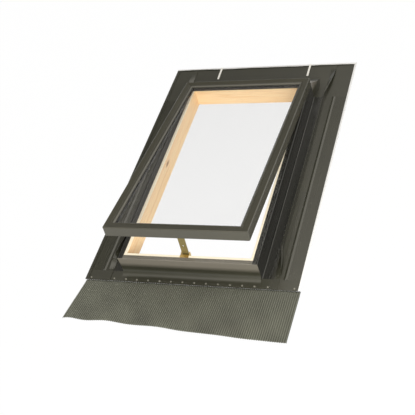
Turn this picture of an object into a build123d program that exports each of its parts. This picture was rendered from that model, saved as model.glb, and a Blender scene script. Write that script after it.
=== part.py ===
"""Top-hung roof skylight: a pine box frame in its own folded flashing, with an outward-opening glazed sash.

+X runs across the roof to the right, +Y up the slope and +Z out of the roof. The origin is the middle of
the four fixing holes in the underside of the pine frame. All sizes are in millimetres.
"""

from build123d import *
import math
import os

# Pine frame: a box of four boards, joined by fingers at the corners
frame_width = 446.0
frame_length = 802.0
frame_height = 68.0
board_thickness = 22.0
finger_count = 5
inner_edge_chamfer = 1.5
fixing_hole_radius = 2.5
fixing_hole_depth = 30.0
fixing_inset_y = 71.0

# Flashing: painted aluminium sheet, folded round the frame
sheet_thickness = 0.8
wrap_gap = 1.2
cap_leg_side = 16.0
cap_leg_end = 14.0
rim_bend_radius = 2.0
gutter_bend_radius = 3.0
gutter_width = 37.0
fold_height = 17.0
fold_thickness = 1.8
fold_turn_front_start = 5.0
fold_turn_front_length = 115.0
fold_turn_head_length = 150.0
laid_fold_head_end_gap = 13.5
side_flange_width = 123.0
ridge_offset = 71.0
ridge_width = 12.0
ridge_height = 1.2
hem_width = 11.0
hem_inner_radius = 0.4
front_flange_reach = 37.0
front_hem_width = 7.0
cove_radius = 20.0
head_slope_reach = 100.0
head_flange_reach = 182.0
corner_welt_bulge = 9.0

# Soft apron below the front flange
apron_thickness = 4.5
apron_tucked_thickness = 2.2
apron_hem_clearance = 0.0
apron_tuck = 30.0
apron_top_overhang_left = -5.0
apron_top_overhang_right = 2.0
apron_flare_left = 22.0
apron_flare_right = -3.0
apron_drop_left = 150.0
apron_drop_right = 176.0
apron_inner_left = (178.0, 152.0)
apron_inner_right = (258.0, 166.0)

# Rivets that hold the apron to the flange
rivet_count = 12
rivet_end_distance = 16.0
rivet_edge_distance = 8.5
rivet_head_radius = 3.2
rivet_head_height = 1.3
rivet_crown_radius = 2.0
small_head_facets = 12
corner_rivet_from_rim = 24.0
corner_rivet_from_edge = 19.0

# Clips that hold the head hem
clip_width = 7.0
clip_thickness = 1.0
clip_upper_leg = 66.0
clip_lower_leg = 32.0
clip_places = {"left": -166.0, "right": 178.0}

# Sash: four mitred aluminium profiles round a sealed double pane
sash_overlap_side = 3.0
sash_overlap_front = 4.0
sash_drop = 6.0
profile_height = 33.0
profile_width = 30.0
profile_wall = 1.6
profile_bottom = 8.5
profile_lip = 1.2
chamber_width = 15.0
chamber_wall = 1.5
corner_radius = 4.0
glass_edge_distance = 18.0
inner_tape_thickness = 1.0
inner_pane_thickness = 3.0
spacer_thickness = 6.5
outer_pane_thickness = 4.0
spacer_inset = 3.0
spacer_width = 10.0
gasket_thickness = 1.2
gasket_sight_width = 2.0
gasket_bite = 5.5
seal_distance = 10.0
seal_width = 8.0
seal_clearance = 0.3
corner_key_leg = 40.0
corner_key_play = 1.0

# Hinges at the head, and the angle at which the sash stands open
hinge_back_from_rim = 5.0
hinge_axis_height = 6.2
hinge_spacing = 300.0
hinge_width = 60.0
knuckle_radius = 4.2
knuckle_gap = 0.4
knuckle_rail_clearance = 0.8
hinge_pin_radius = 2.0
hinge_pin_clearance = 0.05
hinge_leaf_thickness = 1.5
hinge_leaf_depth = 9.0
hinge_sash_leaf_top = 17.0
hinge_sash_plate_thickness = 2.0
hinge_screw_spacing = 40.0
open_angle = 7.8

# Perforated stay bar from the bottom rail to the stud on the sill
stay_x = -8.0
stay_width = 22.0
stay_thickness = 2.5
stay_length = 120.0
stay_eye_radius = 4.0
stay_eye_width = 12.0
stay_hole_radius = 2.6
stay_hole_pitch = 38.0
stay_end_distance = 12.0
stay_pivot_inside_frame = 17.0
stay_pivot_below_rim = 5.8
stay_lean = 8.0
stay_pin_radius = 2.0
stay_pin_clearance = 0.05
ear_thickness = 1.8
ear_gap = 0.4
stay_bracket_plate = 1.8
stay_bracket_width = 24.0

# Bracket on the sill that the stay hooks over
sill_bracket_plate = 1.8
sill_bracket_lip = 1.2
sill_bracket_lip_reach = 9.0
sill_bracket_drop = 30.0
sill_screw_height = 5.0
sill_screw_spacing = 16.0
cheek_gap = 1.5
cheek_thickness = 1.5
cheek_depth = 11.0
cheek_below = 15.0
cheek_above = 2.2
stud_radius = 2.2
stud_below_rim = 8.8
stud_length = 1.8

# Screws
screw_shank_radius = 1.6
screw_head_radius = 3.0
screw_play = 0.05
pan_head_height = 1.4

# Sizes that follow from the ones above
rim_top = frame_height + sheet_thickness
rim_half_width = frame_width / 2 + wrap_gap + sheet_thickness
rim_half_length = frame_length / 2 + wrap_gap + sheet_thickness
opening_half_width = frame_width / 2 - board_thickness
opening_half_length = frame_length / 2 - board_thickness
flange_underside = apron_tucked_thickness + apron_hem_clearance + sheet_thickness
flange_top = flange_underside + sheet_thickness
flange_half_width = rim_half_width + side_flange_width
fold_x = rim_half_width + gutter_width
seam_y = rim_half_length - sheet_thickness
front_edge_y = -rim_half_length - front_flange_reach
head_edge_y = rim_half_length + head_flange_reach
head_slope_y = rim_half_length + head_slope_reach
hem_top = flange_top + 2 * hem_inner_radius + sheet_thickness
sash_half_width = rim_half_width + sash_overlap_side
sash_front_y = -rim_half_length - sash_overlap_front
sash_back_setback = hinge_back_from_rim + knuckle_radius + knuckle_rail_clearance
sash_back_y = rim_half_length - sash_back_setback
sash_base_z = rim_top - sash_drop
hinge_y = rim_half_length - hinge_back_from_rim
hinge_z = rim_top + hinge_axis_height
pane_bottom = profile_bottom + profile_lip + inner_tape_thickness
outer_pane_bottom = pane_bottom + inner_pane_thickness + spacer_thickness
glass_top = outer_pane_bottom + outer_pane_thickness
bead_underside = glass_top + gasket_thickness
stay_pivot_y = -opening_half_length + stay_pivot_inside_frame
stay_pivot_z = rim_top - stay_pivot_below_rim
stud_z = rim_top - stud_below_rim
sill_face_y = -opening_half_length


def polygon(points: list) -> Face:
    """A flat face with straight sides."""
    return make_face(Polyline(*points, close=True))


def along_x(section: Face, start: float, end: float) -> Part:
    """Extrude a section, drawn in Y and Z, from one X to another."""
    plane = Plane(origin=(start, 0, 0), x_dir=(0, 1, 0), z_dir=(1, 0, 0))
    return extrude(plane * section, end - start)


def along_y(section: Face, start: float, end: float) -> Part:
    """Extrude a section, drawn in X and Z, from one Y to another."""
    plane = Plane(origin=(0, end, 0), x_dir=(1, 0, 0), z_dir=(0, -1, 0))
    return extrude(plane * section, end - start)


def along_z(outline: Face, start: float, end: float) -> Part:
    """Extrude an outline, drawn in X and Y, from one Z to another."""
    return extrude(Plane((0, 0, start)) * outline, end - start)


def block(x: tuple, y: tuple, z: tuple) -> Part:
    """A box between two values on each axis."""
    centre = [(pair[0] + pair[1]) / 2 for pair in (x, y, z)]
    return Pos(*centre) * Box(x[1] - x[0], y[1] - y[0], z[1] - z[0])


def rod(start: tuple, end: tuple, radius: float) -> Part:
    """A round bar between two points."""
    way = Vector(*end) - Vector(*start)
    return extrude(Plane(origin=start, z_dir=way.normalized()) * Circle(radius), way.length)


def folded_sheet(points: list, radii: list, side: Side) -> Face:
    """The section of a folded sheet whose visible face follows the points."""
    face_line = FilletPolyline(*points, radius=radii)
    return make_face(offset(face_line, amount=sheet_thickness, side=side))


def mirrored(shape: Part) -> Part:
    """The same piece on the other side of the centre line."""
    return mirror(shape, about=Plane.YZ)


# Pine frame


def finger_levels(first: int) -> list:
    """The Z ranges of every second finger, from the first or the second up."""
    pitch = frame_height / finger_count
    return [(pitch * i, pitch * (i + 1)) for i in range(first, finger_count, 2)]


def fixing_holes() -> Part:
    """The four pilot holes in the underside of the side boards."""
    x = frame_width / 2 - board_thickness / 2
    y = frame_length / 2 - fixing_inset_y
    places = [(sx * x, sy * y) for sx in (-1, 1) for sy in (-1, 1)]
    return Part() + [rod((px, py, 0), (px, py, fixing_hole_depth), fixing_hole_radius) for px, py in places]


def end_board(end: int) -> Part:
    """The head board or the sill board, with fingers that show in the side boards."""
    outer = end * frame_length / 2
    inner = end * opening_half_length
    board = block((-frame_width / 2, frame_width / 2), (min(outer, inner), max(outer, inner)), (0, frame_height))
    for level in finger_levels(0):
        for side in (-1, 1):
            edge, root = side * frame_width / 2, side * opening_half_width
            board -= block((min(edge, root), max(edge, root)), (min(outer, inner), max(outer, inner)), level)
    edge = [(inner, frame_height), (inner + end * inner_edge_chamfer, frame_height),
            (inner, frame_height - inner_edge_chamfer)]
    return board - along_x(polygon(edge), -opening_half_width, opening_half_width)


def side_board(side: int) -> Part:
    """A side board, full length, with sockets for the fingers of the end boards."""
    outer, inner = side * frame_width / 2, side * opening_half_width
    board = block((min(outer, inner), max(outer, inner)), (-frame_length / 2, frame_length / 2), (0, frame_height))
    for level in finger_levels(1):
        for end in (-1, 1):
            edge, root = end * frame_length / 2, end * opening_half_length
            board -= block((min(outer, inner), max(outer, inner)), (min(edge, root), max(edge, root)), level)
    eased = [(inner, frame_height), (inner + side * inner_edge_chamfer, frame_height),
             (inner, frame_height - inner_edge_chamfer)]
    board -= along_y(polygon(eased), -opening_half_length, opening_half_length)
    return board - fixing_holes()


# Flashing


def hem_section(edge: float) -> Sketch:
    """A folded hem at the outer edge, drawn outward along the first axis."""
    bend_x = edge - hem_inner_radius - sheet_thickness
    bend_z = flange_top + hem_inner_radius
    ring = Circle(hem_inner_radius + sheet_thickness) - Circle(hem_inner_radius)
    half = Pos(5, 0) * Rectangle(10, 10)
    strip = polygon([(edge - hem_width, hem_top - sheet_thickness), (bend_x, hem_top - sheet_thickness),
                     (bend_x, hem_top), (edge - hem_width, hem_top)])
    return (Pos(bend_x, bend_z) * (ring & half)) + strip


def flange_section() -> Sketch:
    """The side flange from the standing fold to the hem, with its soft ridge."""
    bend_x = flange_half_width - hem_inner_radius - sheet_thickness
    middle = rim_half_width + ridge_offset
    top = [(fold_x + fold_thickness / 2, flange_top), (middle - ridge_width / 2, flange_top),
           (middle, flange_top + ridge_height), (middle + ridge_width / 2, flange_top), (bend_x, flange_top)]
    bottom = [(x, z - sheet_thickness) for x, z in reversed(top)]
    return polygon(top + bottom) + hem_section(flange_half_width)


def standing_fold_section() -> Face:
    """The upright double fold that stops water from leaving the gutter."""
    return polygon([(fold_x, flange_underside), (fold_x + fold_thickness, flange_underside),
                    (fold_x + fold_thickness, flange_top + fold_height), (fold_x, flange_top + fold_height)])


def leaning_fold_section(lean: float, y: float) -> Face:
    """The fold's outline at one Y, leaning outward by an angle about its root."""
    low, root = flange_underside, flange_top
    along = (math.sin(lean), math.cos(lean))
    out = (math.cos(lean), -math.sin(lean))
    foot = (fold_x, root + fold_thickness * math.sin(lean))
    tip = (foot[0] + fold_height * along[0], foot[1] + fold_height * along[1])
    outer_tip = (tip[0] + fold_thickness * out[0], tip[1] + fold_thickness * out[1])
    shape = [(fold_x, low), foot, tip, outer_tip, (fold_x + fold_thickness, root), (fold_x + fold_thickness, low)]
    return make_face(Polyline(*[(x, y, z) for x, z in shape], close=True))


def laid_fold(upright_y: float, flat_y: float, end_y: float) -> Part:
    """The stretch where the standing fold leans over, turn by turn, and then lies flat on the flange."""
    steps = 4
    sections = [leaning_fold_section(math.radians(90 * i / steps), upright_y + (flat_y - upright_y) * i / steps)
                for i in range(steps + 1)]
    turned = loft(sections, ruled=True)
    laid = block((fold_x, fold_x + fold_height), (min(flat_y, end_y), max(flat_y, end_y)),
                 (flange_underside, flange_top + fold_thickness))
    return turned + laid


def side_flashing() -> Part:
    """The right-hand flashing: cap leg, upstand, gutter, standing fold, flange and hem in one sheet."""
    upstand = folded_sheet(
        [(rim_half_width - cap_leg_side, rim_top), (rim_half_width, rim_top), (rim_half_width, flange_top),
         (fold_x + fold_thickness / 2, flange_top)], [rim_bend_radius, gutter_bend_radius], Side.RIGHT)
    sheet = along_y(upstand + flange_section(), -seam_y, seam_y)
    laid_front = -rim_half_length + fold_turn_front_start
    upright_front = laid_front + fold_turn_front_length
    fold = along_y(standing_fold_section(), upright_front, seam_y)
    return sheet + fold + laid_fold(upright_front, laid_front, -seam_y)


def corner_flange(y_low: float, y_high: float) -> Part:
    """A flat stretch of flange beside the frame's end, with the hem along its outer edge."""
    bend_x = flange_half_width - hem_inner_radius - sheet_thickness
    flat = polygon([(rim_half_width - sheet_thickness, flange_underside), (bend_x, flange_underside),
                    (bend_x, flange_top), (rim_half_width - sheet_thickness, flange_top)])
    return along_y(flat + hem_section(flange_half_width), y_low, y_high)


def cap_corner_relief(end: int) -> Part:
    """The room that the side flashings' cap legs take on the frame's end boards."""
    y = sorted((end * seam_y, end * (seam_y - 2 * cap_leg_end)))
    z = (frame_height - sheet_thickness, rim_top + sheet_thickness)
    inner = rim_half_width - cap_leg_side
    return block((inner, rim_half_width + 1), y, z) + block((-rim_half_width - 1, -inner), y, z)


def front_flashing() -> Part:
    """The front apron flashing: cap leg, upright face, concave foot and riveted flange."""
    cove = folded_sheet(
        [(-rim_half_length + cap_leg_end, rim_top), (-rim_half_length, rim_top), (-rim_half_length, flange_top),
         (front_edge_y, flange_top)], [rim_bend_radius, cove_radius], Side.LEFT)
    hem = polygon([(front_edge_y, flange_underside - sheet_thickness), (front_edge_y + front_hem_width,
                   flange_underside - sheet_thickness), (front_edge_y + front_hem_width, flange_underside),
                   (front_edge_y, flange_underside)])
    sheet = along_x(cove, -rim_half_width, rim_half_width)
    sheet += along_x(hem, -flange_half_width + hem_width, flange_half_width - hem_width)
    cheek_outline = make_face(cove_cheek_line())
    for side in (-1, 1):
        inner, outer = side * (rim_half_width - sheet_thickness), side * rim_half_width
        sheet += along_x(cheek_outline, min(inner, outer), max(inner, outer))
    flange = corner_flange(front_edge_y, -seam_y) + laid_end(front_edge_y, -seam_y)
    sheet += flange + mirrored(flange)
    return sheet - cap_corner_relief(-1)


def cove_cheek_line() -> Curve:
    """The outline of the small end cheek that closes the concave foot."""
    foot_y = -rim_half_length - cove_radius
    arc_top = flange_top + cove_radius
    arc = JernArc((-rim_half_length, arc_top), (0, -1), cove_radius, -90)
    return Curve() + [
        arc,
        Line((foot_y, flange_top), (foot_y, flange_underside)),
        Line((foot_y, flange_underside), (-seam_y, flange_underside)),
        Line((-seam_y, flange_underside), (-seam_y, arc_top)),
        Line((-seam_y, arc_top), (-rim_half_length, arc_top)),
    ]


def laid_end(y_low: float, y_high: float) -> Part:
    """The flat end of the laid fold on a corner flange."""
    return block((fold_x, fold_x + fold_height), (y_low, y_high), (flange_underside, flange_top + fold_thickness))


def corner_welt() -> Part:
    """The rounded welt at the end of the slope, where its surplus sheet is folded away."""
    start, end = seam_y + 1.0, head_slope_y + 3.0
    edge = rim_half_width - sheet_thickness / 2
    plan = make_face(Curve() + [
        ThreePointArc((edge, start), (rim_half_width + corner_welt_bulge, (start + end) / 2), (edge, end)),
        Line((edge, end), (edge, start))])
    under_slope = polygon([(seam_y, flange_underside), (seam_y, rim_top), (rim_half_length, rim_top),
                           (head_slope_y, flange_top + 1.0), (end, flange_top + 1.0), (end, flange_underside)])
    reach = rim_half_width + corner_welt_bulge + 1
    return along_z(plan, flange_underside, rim_top) & along_x(under_slope, edge - 1, reach)


def head_flashing() -> Part:
    """The head flashing: cap leg, slope behind the frame, flat flange and hems."""
    slope_drop = sheet_thickness * math.hypot(head_slope_reach, frame_height) / head_slope_reach
    section = polygon([
        (rim_half_length - cap_leg_end, frame_height), (rim_half_length - cap_leg_end, rim_top),
        (rim_half_length, rim_top), (head_slope_y, flange_top),
        (head_edge_y - hem_inner_radius - sheet_thickness, flange_top),
        (head_edge_y - hem_inner_radius - sheet_thickness, flange_underside),
        (head_slope_y - sheet_thickness / 2, flange_underside), (seam_y, rim_top - slope_drop),
        (seam_y, frame_height)])
    sheet = along_x(section, -rim_half_width, rim_half_width)
    gusset = polygon([(seam_y, flange_underside), (seam_y, rim_top - slope_drop),
                      (head_slope_y - sheet_thickness / 2, flange_underside)])
    for side in (-1, 1):
        inner, outer = side * (rim_half_width - sheet_thickness), side * rim_half_width
        sheet += along_x(gusset, min(inner, outer), max(inner, outer))
    bend_y = head_edge_y - hem_inner_radius - sheet_thickness
    flange = corner_flange(seam_y, bend_y)
    flange += laid_fold(seam_y, seam_y + fold_turn_head_length, head_edge_y - laid_fold_head_end_gap)
    flange += corner_welt()
    sheet += flange + mirrored(flange)
    sheet += along_x(hem_section(head_edge_y), -flange_half_width, flange_half_width)
    return sheet - cap_corner_relief(1)


# Apron and its rivets


def rivet_places() -> list:
    """X and Y of every rivet along the front flange."""
    y = front_edge_y + rivet_edge_distance
    pitch = 2 * (rim_half_width - rivet_end_distance) / (rivet_count - 1)
    row = [((i - (rivet_count - 1) / 2) * pitch, y) for i in range(rivet_count)]
    from_middle = (rim_half_width + corner_rivet_from_rim, flange_half_width - corner_rivet_from_edge)
    corners = [(side * x, y) for side in (-1, 1) for x in from_middle]
    return row + corners


def apron_rivets() -> Part:
    """The pressed heads of the rivets, on the flange."""
    rim = RegularPolygon(rivet_head_radius, small_head_facets)
    crown = Pos(0, 0, rivet_head_height) * RegularPolygon(rivet_crown_radius, small_head_facets)
    head = loft([rim.face(), crown.face()], ruled=True)
    return Part() + [Pos(x, y, flange_top) * head for x, y in rivet_places()]


def pleated_apron() -> Part:
    """The soft apron, wider at its free edge and tucked under the flange at the top."""
    left_top = -flange_half_width - apron_top_overhang_left
    right_top = flange_half_width + apron_top_overhang_right
    bottom = [(-flange_half_width - apron_flare_left, front_edge_y - apron_drop_left),
              (-flange_half_width + apron_inner_left[0], front_edge_y - apron_inner_left[1]),
              (flange_half_width - apron_inner_right[0], front_edge_y - apron_inner_right[1]),
              (flange_half_width + apron_flare_right, front_edge_y - apron_drop_right)]
    free_edge = Spline(*bottom)
    outline = make_face(Curve() + [
        Line((left_top, front_edge_y), bottom[0]), free_edge, Line(bottom[-1], (right_top, front_edge_y)),
        Line((right_top, front_edge_y), (left_top, front_edge_y))])
    tucked = block((-flange_half_width + hem_width, flange_half_width - hem_width),
                   (front_edge_y, front_edge_y + apron_tuck), (0, apron_tucked_thickness))
    return along_z(outline, 0, apron_thickness) + tucked


# Holding clips on the head hem


def holding_clip(x: float) -> Part:
    """A bent strip that hooks over the head hem, above and below the flange."""
    turn = head_edge_y + clip_thickness + 0.2
    top = hem_top + 0.1 + clip_thickness
    under = flange_underside - clip_thickness
    line = FilletPolyline(
        (turn - clip_upper_leg, flange_top + clip_thickness), (turn - clip_upper_leg + 30, top), (turn, top),
        (turn, under), (turn - clip_lower_leg, under), radius=[8.0, 1.6, 1.6])
    strip = make_face(offset(line, amount=clip_thickness, side=Side.RIGHT))
    return along_x(strip, x - clip_width / 2, x + clip_width / 2)


# Sash, drawn shut


def profile_section() -> Face:
    """The sash profile: u runs inward from the outer face, v up from the skirt's lower edge."""
    top_inner = profile_height - 2.0
    face_end = 19.0
    groove = face_end + 1.0
    bead_start = face_end + 2.0
    outer = Curve() + [
        Line((0, 0), (0, profile_height - 2.5)),
        JernArc((0, profile_height - 2.5), (0, 1), 2.5, -84),
        Line(JernArc((0, profile_height - 2.5), (0, 1), 2.5, -84) @ 1, (face_end, top_inner)),
        Line((face_end, top_inner), (groove, top_inner - 1.6)),
        Line((groove, top_inner - 1.6), (bead_start, top_inner - 0.4)),
        ThreePointArc((bead_start, top_inner - 0.4), (bead_start + 5.5, top_inner - 1.2),
                      (profile_width - 0.5, bead_underside + 1.4)),
        Line((profile_width - 0.5, bead_underside + 1.4), (profile_width - 0.5, bead_underside)),
        Line((profile_width - 0.5, bead_underside), (chamber_width + chamber_wall, bead_underside)),
        Line((chamber_width + chamber_wall, bead_underside), (chamber_width + chamber_wall, profile_bottom + profile_lip)),
        Line((chamber_width + chamber_wall, profile_bottom + profile_lip), (profile_width, profile_bottom + profile_lip)),
        Line((profile_width, profile_bottom + profile_lip), (profile_width, profile_bottom)),
        Line((profile_width, profile_bottom), (profile_wall, profile_bottom)),
        Line((profile_wall, profile_bottom), (profile_wall, 0)),
        Line((profile_wall, 0), (0, 0)),
    ]
    chamber = polygon([
        (profile_wall, profile_bottom + profile_wall), (chamber_width, profile_bottom + profile_wall),
        (chamber_width, top_inner - profile_wall), (profile_wall, profile_height - 2.5 - profile_wall)])
    return make_face(outer) - chamber


def sash_plan() -> Part:
    """The outline of the whole sash, with its rounded corners, as a thick block."""
    length = sash_back_y - sash_front_y
    outline = Pos(0, (sash_back_y + sash_front_y) / 2) * RectangleRounded(2 * sash_half_width, length, corner_radius)
    return along_z(outline, sash_base_z - 1, sash_base_z + profile_height + 1)


def mitred(length: float) -> Part:
    """A length of profile lying along X with its outer face at Y = 0, mitred at both ends."""
    bar = along_x(profile_section(), -length / 2, length / 2)
    reach = profile_width + 10
    wedge = along_z(polygon([(-length / 2, 0), (length / 2, 0), (length / 2 - reach, reach),
                             (-length / 2 + reach, reach)]), -1, profile_height + 1)
    return bar & wedge


def sash_profile(name: str) -> Part:
    """One of the four profiles of the sash, in its shut place."""
    middle = (sash_back_y + sash_front_y) / 2
    length = sash_back_y - sash_front_y
    places = {
        "sash_rail_bottom": (Pos(0, sash_front_y, sash_base_z), 2 * sash_half_width),
        "sash_rail_top": (Pos(0, sash_back_y, sash_base_z) * Rot(0, 0, 180), 2 * sash_half_width),
        "sash_stile_right": (Pos(sash_half_width, middle, sash_base_z) * Rot(0, 0, 90), length),
        "sash_stile_left": (Pos(-sash_half_width, middle, sash_base_z) * Rot(0, 0, -90), length),
    }
    place, size = places[name]
    bar = (place * mitred(size)) & sash_plan()
    if name == "sash_rail_top":
        skirt_room = block((-sash_half_width, sash_half_width), (sash_back_y - profile_wall, sash_back_y + 1),
                           (sash_base_z - 1, sash_base_z + profile_bottom))
        bar -= skirt_room
    return bar


def frame_ring(near: float, far: float, low: float, high: float) -> Part:
    """A square-cornered ring that follows the sash, from one distance inside its edge to another."""
    middle = (sash_back_y + sash_front_y) / 2
    length = sash_back_y - sash_front_y
    outer = Pos(0, middle) * Rectangle(2 * (sash_half_width - near), length - 2 * near)
    inner = Pos(0, middle) * Rectangle(2 * (sash_half_width - far), length - 2 * far)
    return along_z(outer - inner, sash_base_z + low, sash_base_z + high)


def pane(low: float, thickness: float) -> Part:
    """A sheet of glass that fills the glazing rebate."""
    x = sash_half_width - glass_edge_distance
    return block((-x, x), (sash_front_y + glass_edge_distance, sash_back_y - glass_edge_distance),
                 (sash_base_z + low, sash_base_z + low + thickness))


def spacer_frame() -> Part:
    """The hollow bar that keeps the two panes apart."""
    near = glass_edge_distance + spacer_inset
    low = pane_bottom + inner_pane_thickness
    bar = frame_ring(near, near + spacer_width, low, low + spacer_thickness)
    hollow = frame_ring(near + 1, near + spacer_width - 1, low + 1, low + spacer_thickness - 1)
    return bar - hollow


def outer_gasket() -> Part:
    """The dark seal between the bead and the outer pane, with its lip on the sight line."""
    sight = profile_width - 0.5
    under = frame_ring(sight - gasket_bite, sight + gasket_sight_width, glass_top, bead_underside)
    lip = frame_ring(sight, sight + gasket_sight_width, bead_underside, bead_underside + 0.9)
    return under + lip


def inner_tape() -> Part:
    """The glazing tape between the lip of the profile and the inner pane."""
    return frame_ring(glass_edge_distance, profile_width - 1, profile_bottom + profile_lip, pane_bottom)


def sash_seal() -> Part:
    """The hollow seal that presses on the rim when the sash is shut."""
    low = rim_top + seal_clearance - sash_base_z
    base = frame_ring(seal_distance, seal_distance + seal_width, profile_bottom - 0.9, profile_bottom)
    bulb = frame_ring(seal_distance + 1.5, seal_distance + seal_width - 1.5, low, profile_bottom - 0.9)
    return base + bulb


def corner_keys() -> Part:
    """Four angle keys that join the profiles inside their chambers."""
    low = sash_base_z + profile_bottom + profile_wall
    high = sash_base_z + profile_height - 2.0 - profile_wall - corner_key_play
    near, far = profile_wall + corner_key_play, chamber_width
    keys = []
    for sx in (-1, 1):
        for y_edge, sy in ((sash_front_y, 1), (sash_back_y, -1)):
            def at(u: float, w: float) -> tuple:
                """The point at two distances from the outer faces of this corner."""
                return (sx * (sash_half_width - u), y_edge + sy * w)
            outline = polygon([at(near, near), at(corner_key_leg, near), at(corner_key_leg, far), at(far, far),
                               at(far, corner_key_leg), at(near, corner_key_leg)])
            keys.append(along_z(outline, low, high))
    return Part() + keys


# Hinges


def knuckle(x_low: float, x_high: float) -> Part:
    """A rolled knuckle round the hinge axis."""
    return rod((x_low, hinge_y, hinge_z), (x_high, hinge_y, hinge_z), knuckle_radius)


def knuckle_spans(centre: float) -> tuple:
    """X ranges of the two outer knuckles and of the middle one."""
    third = hinge_width / 3
    left, right = centre - hinge_width / 2, centre + hinge_width / 2
    outer = [(left, left + third - knuckle_gap), (right - third + knuckle_gap, right)]
    return outer, (left + third, right - third)


def hinge_bore(centre: float) -> Part:
    """The bore of the knuckles."""
    reach = hinge_width / 2 + 1
    return rod((centre - reach, hinge_y, hinge_z), (centre + reach, hinge_y, hinge_z),
               hinge_pin_radius + hinge_pin_clearance)


def hinge_frame_leaf(centre: float) -> Part:
    """The leaf that is screwed to the head board, with two knuckles."""
    outer, _ = knuckle_spans(centre)
    top = rim_top + hinge_leaf_thickness
    front = sash_back_y - hinge_leaf_depth
    leaf = block((centre - hinge_width / 2, centre + hinge_width / 2), (front, sash_back_y), (rim_top, top))
    for low, high in outer:
        leaf += knuckle(low, high)
        leaf += block((low, high), (sash_back_y, hinge_y), (rim_top, hinge_z))
    return leaf - hinge_bore(centre) - hinge_screw_holes()


def hinge_sash_leaf(centre: float) -> Part:
    """The leaf on the back of the top rail, with the middle knuckle."""
    _, middle = knuckle_spans(centre)
    low = hinge_z + knuckle_radius + 0.8
    plate_y = (sash_back_y, sash_back_y + hinge_sash_plate_thickness)
    leaf = block((centre - hinge_width / 2, centre + hinge_width / 2), plate_y, (low, hinge_z + hinge_sash_leaf_top))
    leaf += block(middle, plate_y, (hinge_z, low))
    leaf += knuckle(*middle)
    return leaf - hinge_bore(centre)


def hinge_pin(centre: float) -> Part:
    """The pin, with a small head at one end."""
    half = hinge_width / 2
    pin = rod((centre - half, hinge_y, hinge_z), (centre + half, hinge_y, hinge_z), hinge_pin_radius)
    return pin + rod((centre + half, hinge_y, hinge_z), (centre + half + 1.2, hinge_y, hinge_z), 3.0)


def hinge_screw_places() -> list:
    """X and Y of the screws through the frame leaves."""
    y = sash_back_y - hinge_leaf_depth / 2
    return [(side * hinge_spacing / 2 + offset_x, y) for side in (-1, 1)
            for offset_x in (-hinge_screw_spacing / 2, hinge_screw_spacing / 2)]


def hinge_screw(x: float, y: float, play: float) -> Part:
    """The countersunk head of a screw, flush with the leaf."""
    height = Align.CENTER, Align.CENTER, Align.MIN
    head = Cone(screw_shank_radius + play, screw_head_radius + play, hinge_leaf_thickness, align=height)
    return Pos(x, y, rim_top) * head


def hinge_screw_holes() -> Part:
    """The countersinks of the frame leaves."""
    return Part() + [hinge_screw(x, y, screw_play) for x, y in hinge_screw_places()]


def hinge_screws() -> Part:
    """The screw heads of both frame leaves."""
    return Part() + [hinge_screw(x, y, 0.0) for x, y in hinge_screw_places()]


# Stay: bracket, pin and bar in their shut place, the bar hanging from the bottom rail


def stay_bracket() -> Part:
    """The bracket under the bottom rail, with two ears for the pivot pin."""
    top = sash_base_z + profile_bottom
    half = stay_bracket_width / 2
    leg_y = sill_face_y + sill_bracket_plate + 1.7
    plate = block((stay_x - half, stay_x + half), (sill_face_y - 7, leg_y + stay_bracket_plate),
                  (top - stay_bracket_plate, top))
    leg_half = stay_eye_width / 2 + ear_gap + ear_thickness
    leg = block((stay_x - leg_half, stay_x + leg_half), (leg_y, leg_y + stay_bracket_plate), (stay_pivot_z + 1.2, top))
    ear = polygon([(leg_y, top), (leg_y, stay_pivot_z - stay_eye_radius), (stay_pivot_y,
                   stay_pivot_z - stay_eye_radius), (stay_pivot_y, stay_pivot_z + stay_eye_radius), (leg_y + 8, top)])
    bracket = plate + leg
    for side in (-1, 1):
        inner = stay_x + side * (stay_eye_width / 2 + ear_gap)
        outer = inner + side * ear_thickness
        low, high = min(inner, outer), max(inner, outer)
        bracket += along_x(ear, low, high)
        bracket += rod((low, stay_pivot_y, stay_pivot_z), (high, stay_pivot_y, stay_pivot_z), stay_eye_radius)
    return bracket - stay_bore(stay_pin_radius)


def stay_bore(radius: float) -> Part:
    """The bore along the stay's pivot axis."""
    reach = stay_bracket_width / 2
    return rod((stay_x - reach, stay_pivot_y, stay_pivot_z), (stay_x + reach, stay_pivot_y, stay_pivot_z), radius)


def stay_pivot_pin() -> Part:
    """The pin through both ears and the eye of the bar, with flat heads."""
    half = stay_eye_width / 2 + ear_gap + ear_thickness
    pin = rod((stay_x - half, stay_pivot_y, stay_pivot_z), (stay_x + half, stay_pivot_y, stay_pivot_z), stay_pin_radius)
    for side in (-1, 1):
        pin += rod((stay_x + side * half, stay_pivot_y, stay_pivot_z),
                   (stay_x + side * (half + 1.0), stay_pivot_y, stay_pivot_z), 3.2)
    return pin


def stay_hole_distances() -> list:
    """How far each hole of the bar lies below the pivot."""
    last = stay_length - stay_end_distance
    return [last - i * stay_hole_pitch for i in range(3)]


def stay_bar() -> Part:
    """The flat bar with its rolled eye, hanging straight down from the pivot."""
    half = stay_width / 2
    narrow = stay_eye_width / 2
    shoulder = stay_eye_radius + 7.0
    outline = polygon([(-narrow, 0), (narrow, 0), (narrow, -shoulder), (half, -shoulder - 6), (half, 4 - stay_length),
                       (half - 4, -stay_length), (4 - half, -stay_length), (-half, 4 - stay_length),
                       (-half, -shoulder - 6), (-narrow, -shoulder)])
    for distance in stay_hole_distances():
        outline -= Pos(0, -distance) * Circle(stay_hole_radius)
    place = Pos(stay_x, stay_pivot_y, stay_pivot_z)
    bar = extrude(Plane(origin=(0, stay_thickness / 2, 0), x_dir=(1, 0, 0), z_dir=(0, -1, 0)) * outline, stay_thickness)
    eye = rod((-narrow, 0, 0), (narrow, 0, 0), stay_eye_radius)
    hung = place * (bar + eye) - stay_bore(stay_pin_radius + stay_pin_clearance)
    pivot = Axis((stay_x, stay_pivot_y, stay_pivot_z), (1, 0, 0))
    return hung.rotate(pivot, open_angle - stay_lean)


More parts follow.
